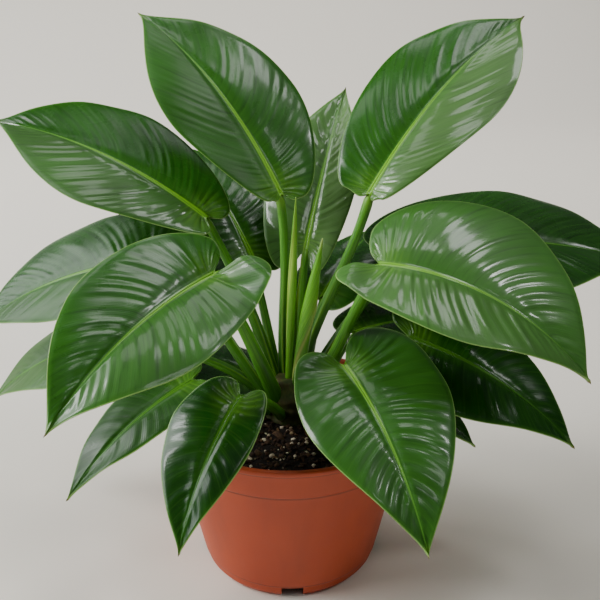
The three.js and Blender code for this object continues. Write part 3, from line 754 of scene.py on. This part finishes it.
def turns_of(count, random):
    """Random rotations, from four normal numbers each, scaled to unit length."""
    w, x, y, z = unit(random.normal(size=(count, 4))).T
    return np.array([
        [1 - 2 * (y * y + z * z), 2 * (x * y - w * z), 2 * (x * z + w * y)],
        [2 * (x * y + w * z), 1 - 2 * (x * x + z * z), 2 * (y * z - w * x)],
        [2 * (x * z - w * y), 2 * (y * z + w * x), 1 - 2 * (x * x + y * y)],
    ]).transpose(2, 0, 1)


def loose_mesh(bits, seed):
    """Loose bits on the soil: copies of one lump, each squeezed, dented, turned at random, a little
    flattened and sunk by a share of its size, spread evenly over the ring between the stem and the
    pot."""
    random = np.random.default_rng(SEED + seed)
    shape, faces = crumb_shape(bits["detail"])
    count, (smallest, largest) = bits["count"], bits["sizes"]
    inner, outer = STEM_RADIUS + 2, INSIDE_RADIUS - 3.5
    reach = np.sqrt(random.uniform(inner**2, outer**2, count))
    angle = random.uniform(0, 2 * np.pi, count)
    x, y = reach * np.cos(angle), reach * np.sin(angle)
    size = smallest + (largest - smallest) * random.uniform(0, 1, count) ** 2
    stretch = np.stack([random.uniform(1, bits["longest"], count),
                        random.uniform(0.8, 1.1, count),
                        random.uniform(bits["flattest"], 0.9, count)], -1)
    dents = 1 + random.uniform(-0.22, 0.22, (count, len(shape), 1))
    lumps = shape[None] * dents * (size[:, None] * stretch / 2)[:, None]
    lumps = np.einsum("nij,nkj->nki", turns_of(count, random), lumps)
    lumps[..., 2] *= 0.8
    middle = np.stack([x, y, soil_height(x, y) + size * (0.5 - bits["sink"])], -1)
    points = (lumps + middle[:, None]).reshape(-1, 3)
    triangles = (faces[None] + len(shape) * np.arange(count)[:, None, None]).reshape(-1, 3)
    tone = np.repeat(random.uniform(0, 1, count), len(shape))
    return make_mesh("soil_" + bits["kind"], points, triangles=triangles, values={"tone": tone})


# Finishes

class Value:
    """A socket of a finish. Arithmetic on it adds the Math nodes."""

    def __init__(self, finish, socket):
        self.finish = finish
        self.socket = socket

    def math(self, operation, *others):
        sockets = dict(enumerate((self, *others)))
        return self.finish.node("Math", {"operation": operation}, sockets)

    def __add__(self, other):
        return self.math("ADD", other)

    def __mul__(self, other):
        return self.math("MULTIPLY", other)

    def __sub__(self, other):
        return self.math("SUBTRACT", other)

    def __rsub__(self, other):
        return (self * -1) + other

    def step(self, low, high, start=0.0, end=1.0):
        """A smooth step of this value from start at low to end at high."""
        return self.finish.node("MapRange", {"interpolation_type": "SMOOTHSTEP"},
                                {"Value": self, "From Min": low, "From Max": high,
                                 "To Min": start, "To Max": end})

    def near_whole(self):
        """Distance to the nearest whole number, from 0 to a half."""
        return ((self + 0.5).math("FRACT") - 0.5).math("ABSOLUTE")


class Finish:
    """A material built from nodes round one Principled shader."""

    def __init__(self, name, **constants):
        self.material = bpy.data.materials.new(name)
        self.material.use_nodes = True
        self.tree = self.material.node_tree
        self.shader = self.tree.nodes["Principled BSDF"]
        for key, value in constants.items():
            self.input(key).default_value = value
        self.place = self.node("TexCoord", output="Object")

    def node(self, kind, settings=None, sockets=None, output=0):
        """A node of a kind, with its settings made first and then its sockets set or linked."""
        node = self.tree.nodes.new("ShaderNode" + kind)
        for key, value in (settings or {}).items():
            setattr(node, key, value)
        for key, value in (sockets or {}).items():
            if isinstance(value, Value):
                self.tree.links.new(value.socket, node.inputs[key])
            else:
                node.inputs[key].default_value = value
        return Value(self, node.outputs[output])

    def attributes(self, *names):
        """The numbers that the mesh carries under these names."""
        return [self.node("Attribute", {"attribute_name": name}, output="Fac")
                for name in names]

    def stretched(self, scale):
        """Object coordinates with each axis scaled."""
        return self.node("Mapping", sockets={"Vector": self.place, "Scale": scale})

    def noise(self, scale, detail=2.0, roughness=0.5, place=None):
        return self.node("TexNoise", sockets={
            "Vector": place or self.place, "Scale": scale, "Detail": detail,
            "Roughness": roughness})

    def mix(self, factor, first, second):
        """The second colour laid over the first by a factor."""
        return self.node("Mix", {"data_type": "RGBA"}, {0: factor, 6: first, 7: second}, 2)

    def paint(self, colour, *coats):
        """A colour with others laid over it in turn. Each coat is a factor and a screen colour."""
        for factor, *screen in coats:
            colour = self.mix(factor, colour, tint(*screen))
        return colour

    def join(self, x, y, z):
        return self.node("CombineXYZ", sockets={"X": x, "Y": y, "Z": z})

    def input(self, key):
        """The shader's input whose name in lower case with underscores is the key."""
        return self.shader.inputs[key.replace("_", " ").title().replace("Ior", "IOR")]

    def feed(self, **values):
        for key, value in values.items():
            self.tree.links.new(value.socket, self.input(key))

    def bump(self, height, distance, strength):
        """Relief from a height of 0 to 1 that stands for a distance in metres."""
        normal = self.node("Bump", sockets={
            "Height": height, "Distance": distance, "Strength": strength})
        self.feed(normal=normal)


def tint(red, green, blue):
    """A colour given as screen values from 0 to 255, as the linear colour that sockets take."""
    linear = [((c / 255 + 0.055) / 1.055) ** 2.4 if c > 10 else c / 255 / 12.92
              for c in (red, green, blue)]
    return (*linear, 1.0)


def leaf_finish():
    """A glossy leaf: dark green, darker and lighter by leaf and in soft patches, with painted shade
    on the leaves low in the plant, paler where it is dull as a painted sheen, streaked with painted
    light and shade along the pleats, with fine side veins, a pale midrib with painted shade in its
    channel and on dark leaves, a pale margin, a yellow-green glow at the stalk and a dull
    underside."""
    leaf = Finish("leaf", coat_roughness=0.13, coat_ior=1.5, specular_ior_level=0.28)
    tone, haze_and_sheen, gloss, under = leaf.attributes("tone", "haze_and_sheen", "gloss", "under")
    vein, rib, along, out = leaf.attributes("vein", "rib", "along", "out")
    margin, stalk = leaf.attributes("from_margin", "from_stalk")
    patches = leaf.noise(28, 3)
    streaks = leaf.noise(1.0, 3, 0.6, leaf.join(vein * 2.6, out * 1.1, tone * 31))
    # Lightness by leaf (tone), low on the leaves low in the plant as painted shade, and by soft
    # patches
    shade = (tone * 0.75 + patches.step(0.3, 0.7) * 0.35).math("MINIMUM", 1.0)
    # Painted sheen: a paler green where the half is dull
    painted_sheen = haze_and_sheen * haze_and_sheen * 0.42
    beside_rib = rib.step(1.0, 9.0, 0.3, 0.0)
    side_vein = vein.near_whole().step(0.02, 0.1, 0.09, 0.0) * rib.step(0.5, 3.0)
    glow = stalk.step(4.0, 20.0, 0.35, 0.0) * vein.near_whole().step(0.05, 0.3, 1.0, 0.5)
    near_margin = margin.step(0.4, 2.2, 0.3, 0.0)
    near_tip = along.step(0.93, 1.0, 0.0, 0.6)
    above = leaf.paint(
        leaf.mix(shade, tint(5, 46, 3), tint(36, 102, 8)),
        (painted_sheen, 108, 146, 80),
        (beside_rib, 54, 114, 20),
        # Painted light and shade: darker and lighter streaks along the pleats
        (streaks.step(0.25, 0.5, 0.45, 0.0), 5, 34, 3),
        (streaks.step(0.5, 0.75, 0.0, 0.3), 54, 110, 26),
        (side_vein, 84, 138, 44),
        (glow, 120, 176, 52),
        (near_margin, 70, 130, 34),
        (near_tip, 104, 142, 36),
    )
    below = leaf.mix(side_vein * 2.5, tint(58, 104, 40), tint(98, 142, 66))
    rib_mask = rib.step(0.85, 1.35, 1.0, 0.0) * along.step(0.55, 1.0, 1.0, 0.3)
    # Painted shade: a darker line in the midrib's channel
    groove = rib.step(0.12, 0.3, 0.5, 0.0) * along.step(0.05, 0.7, 1.0, 0.2)
    rib_colour = leaf.paint(
        leaf.mix(along.step(0.0, 0.85), tint(118, 180, 34), tint(92, 150, 50)),
        (groove, 70, 132, 24),
        # Painted shade: darker midribs on the leaves of low tone
        (tone.step(0.0, 0.5, 0.75, 0.0), 38, 94, 14),
    )
    colour = leaf.paint(
        leaf.mix(rib_mask, leaf.mix(under, above, below), rib_colour),
        (margin.step(0.2, 0.5, 0.75, 0.0), 140, 180, 92),
        (along.step(0.985, 1.005), 112, 74, 34),
    )
    roughness = leaf.noise(90, 4).step(0.3, 0.8, 0.17, 0.25) + haze_and_sheen * 0.22 + under * 0.25
    relief = (vein * 6).near_whole() * 0.9 + leaf.noise(900, 2) * 0.35
    leaf.feed(base_color=colour, roughness=roughness, coat_weight=(1 - under) * gloss)
    leaf.bump(relief, 0.00006, 0.8)
    return leaf.material


def stalk_finish(name, colours):
    """A stalk or sheath: fine streaks along it, a darker colour towards the foot as painted shade
    at the crown, and paler at the head and at its thin edges."""
    stalk = Finish(name, coat_roughness=0.2, specular_ior_level=0.5)
    dark, light, edge_colour, shaded_foot_colour = colours
    along, around, edge, tone = stalk.attributes("along", "around", "edge", "tone")
    streak = stalk.noise(3.0, 3, 0.6, stalk.join(around * 9, along * 1.2, tone * 7))
    fleck = stalk.noise(4.0, 2, 0.5, stalk.join(around * 14, along * 26, tone * 5))
    # Painted shade: a darker colour towards the foot, where the stalks meet in the crown
    painted_shade_at_foot = along.step(0.05, 0.5, 0.65, 0.0) * tone.step(0.0, 0.3)
    colour = stalk.paint(
        stalk.mix(streak.step(0.3, 0.7), tint(*dark), tint(*light)),
        (fleck.step(0.62, 0.75, 0.0, 0.3), *edge_colour),
        (painted_shade_at_foot, *shaded_foot_colour),
        (along.step(0.9, 1.0, 0.0, 0.45), *edge_colour),
        (edge * 0.75, *edge_colour),
    )
    stalk.feed(base_color=colour, roughness=streak.step(0.2, 0.8, 0.34, 0.48))
    stalk.bump(streak * 0.7 + fleck * 0.3, 0.00012, 0.7)
    return stalk.material


def stem_finish():
    """The stem: olive and brown patches with upright grooves."""
    stem = Finish("stem", specular_ior_level=0.4)
    rough = stem.noise(240, 5, 0.65)
    grooves = stem.noise(260, 2, 0.5, stem.stretched((1, 1, 0.12)))
    colour = stem.paint(
        stem.mix(rough.step(0.35, 0.65), tint(48, 62, 20), tint(84, 88, 38)),
        (grooves.step(0.5, 0.7, 0.0, 0.7), 70, 50, 30),
    )
    stem.feed(base_color=colour, roughness=rough.step(0.2, 0.8, 0.55, 0.8))
    stem.bump(rough * 0.6 + grooves * 0.4, 0.0006, 0.8)
    return stem.material


def pot_finish():
    """Moulded terracotta-coloured plastic: nearly even colour with faint cloudy flow marks, a fine
    satin grain, light scuffs, dark lines of painted shade in the corners under lip and collar and
    above the foot, and a little soil dust towards the rim."""
    pot = Finish("terracotta_plastic", specular_ior_level=0.45)
    height = pot.node("SeparateXYZ", sockets={0: pot.place}, output="Z")
    clouds = pot.noise(16, 3)
    flow = pot.noise(60, 3, 0.6, pot.stretched((1, 1, 0.09)))
    scuffs = pot.noise(130, 6, 0.75, pot.stretched((1, 1, 2.6)))
    worn = scuffs.step(0.66, 0.76, 0.0, 0.3)
    dust = pot.noise(420, 4, 0.7).step(0.62, 0.8) * height.step(0.088, 0.1015, 0.1, 0.6)
    coats = [(flow.step(0.45, 0.75, 0.0, 0.35), 150, 56, 26), (worn, 204, 116, 80)]
    # Painted shade: dark lines in the corners under the lip and collar and above the foot
    for line, reach in ((COLLAR_FOOT - 0.5, 1.1), (LIP_FOOT - 0.9, 1.0), (FOOT_HEIGHT + 1.0, 0.6)):
        away = (height - line * MM).math("ABSOLUTE")
        coats.append((away.step(0.2 * reach * MM, reach * MM, 0.6, 0.0), 84, 30, 16))
    coats.append((dust, 74, 50, 38))
    colour = pot.mix(clouds.step(0.3, 0.7), tint(168, 62, 25), tint(182, 72, 32))
    colour = pot.paint(colour, *coats)
    grain = pot.noise(2600, 2)
    roughness = clouds.step(0.2, 0.8, 0.46, 0.56) + worn * 0.2 + dust * 0.2
    pot.feed(base_color=colour, roughness=roughness)
    pot.bump(grain * 0.5 + flow * 0.3 + scuffs * 0.2, 0.00012, 0.6)
    return pot.material


def soil_finish(name, dark, light, roughness, depth):
    """Peat or loose bits: a tone for each bit, mottled by noise of two sizes."""
    soil = Finish(name, specular_ior_level=0.25)
    tone = soil.attributes("tone")[0]
    coarse = soil.noise(260, 5, 0.7)
    fine = soil.noise(1500, 3, 0.6)
    shade = (tone * 0.7 + coarse.step(0.35, 0.7) * 0.3 + (fine - 0.5) * 0.5).math("MAXIMUM", 0.0)
    colour = soil.mix(shade.math("MINIMUM", 1.0), tint(*dark), tint(*light))
    soil.feed(base_color=colour, roughness=fine.step(0.2, 0.8, roughness - 0.1, roughness))
    soil.bump(coarse * 0.6 + fine * 0.4, depth, 1.0)
    return soil.material


# Making the pieces

def build_leaves():
    leaf_skin = leaf_finish()
    stalk_skin = stalk_finish("stalk", STALK_COLOURS)
    for index, values in enumerate(LEAVES):
        leaf = {**USUAL_LEAF, **values}
        blade, petiole = "blade_" + leaf["name"], "petiole_" + leaf["name"]
        add_piece(blade + "_fine", blade_mesh(leaf, index), leaf_skin, blade)
        add_piece(petiole + "_fine", petiole_mesh(leaf, index), stalk_skin, petiole)


def build_spears():
    for spear in SPEARS:
        skin = stalk_finish(spear["slot"], spear["colours"])
        add_piece(spear["name"] + "_fine", spear_mesh(spear), skin, spear["name"])


def build_pot_and_soil():
    add_piece("stem_fine", stem_mesh(), stem_finish(), "stem")
    add_piece("pot_fine", pot_mesh(), pot_finish(), "pot", smooth=False)
    add_piece("soil_fine", soil_mesh(), soil_finish("soil", *PEAT_FINISH), "soil")
    for seed, bits in enumerate(LOOSE_BITS, 1):
        skin = soil_finish(bits["kind"], *bits["finish"])
        add_piece("soil_" + bits["kind"], loose_mesh(bits, seed), skin, smooth=False)


# Stage, light and camera

def build_stage():
    """A pale floor that turns up far behind: a flat run and an eighth of a circle, as one profile
    drawn out sideways."""
    bend = np.linspace(0, np.pi / 4, 16)
    front, flat_to, radius, half_width = -4000.0, 1500.0, 1600.0, 5000.0
    profile = np.concatenate([
        [[front, 0.0]],
        np.stack([flat_to + radius * np.sin(bend), radius - radius * np.cos(bend)], -1),
    ])
    points = np.concatenate([
        np.concatenate([np.full((len(profile), 1), x), profile], 1)
        for x in (-half_width, half_width)
    ])
    step = np.arange(len(profile) - 1)
    quads = np.stack([step, step + len(profile), step + len(profile) + 1, step + 1], -1)
    mesh = make_mesh("floor", points, quads)
    mesh.shade_smooth()
    finish = Finish("floor", base_color=tint(243, 236, 223), roughness=0.8, specular_ior_level=0.3)
    mesh.materials.append(finish.material)
    floor = add_object("floor", mesh)


def add_light(name, place, size, power, colour=(1, 1, 1), aim=PLANT_MIDDLE):
    """An oblong area light, its place and size in millimetres, turned to face a point."""
    light = bpy.data.lights.new(name, "AREA")
    light.shape = "RECTANGLE"
    light.size, light.size_y = size[0] * MM, size[1] * MM
    light.energy = power
    light.color = colour
    lamp = add_object(name, light)
    lamp.location = Vector(place) * MM
    lamp.rotation_euler = (Vector(aim) - Vector(place)).to_track_quat("-Z", "Y").to_euler()


def build_light():
    world = bpy.data.worlds.new("studio")
    world.use_nodes = True
    background = world.node_tree.nodes["Background"]
    background.inputs["Color"].default_value = SKY_COLOUR
    background.inputs["Strength"].default_value = SKY_STRENGTH
    bpy.context.scene.world = world
    add_light("window", (-2100, 0, 1300), (2300, 1900), 74, WINDOW_COLOUR)
    add_light("window middle", (-1500, -250, 1650), (500, 400), 14)
    add_light("overhead", (750, 200, 2450), (700, 450), 8)
    add_light("above", (60, -60, 1000), (140, 180), 0.5, aim=(80, 30, 280))
    add_light("above left", (-270, 110, 1000), (260, 220), 0.5, aim=(-150, 60, 240))
    add_light("behind", (100, 1150, 2300), (700, 600), 4)
    add_light("corner", (-1500, 1900, 900), (1400, 1200), 4)
    add_light("front", (700, -1450, 2000), (400, 400), 2.5)
    add_light("right", (1450, -550, 2000), (300, 250), 6.5)
    add_light("backdrop", (0, 900, 1500), (2400, 500), 24, aim=(0, 2500, 500))


def build_camera():
    camera = bpy.data.cameras.new("camera")
    camera.sensor_width = SENSOR_WIDTH
    camera.lens = CAMERA_LENS
    view = add_object("camera", camera)
    view.location = Vector(CAMERA_PLACE) * MM
    view.rotation_euler = (math.radians(90 - CAMERA_PITCH_DOWN), 0, 0)
    bpy.context.scene.camera = view


build_camera()
build_leaves()
build_spears()
build_pot_and_soil()
build_stage()
build_light()
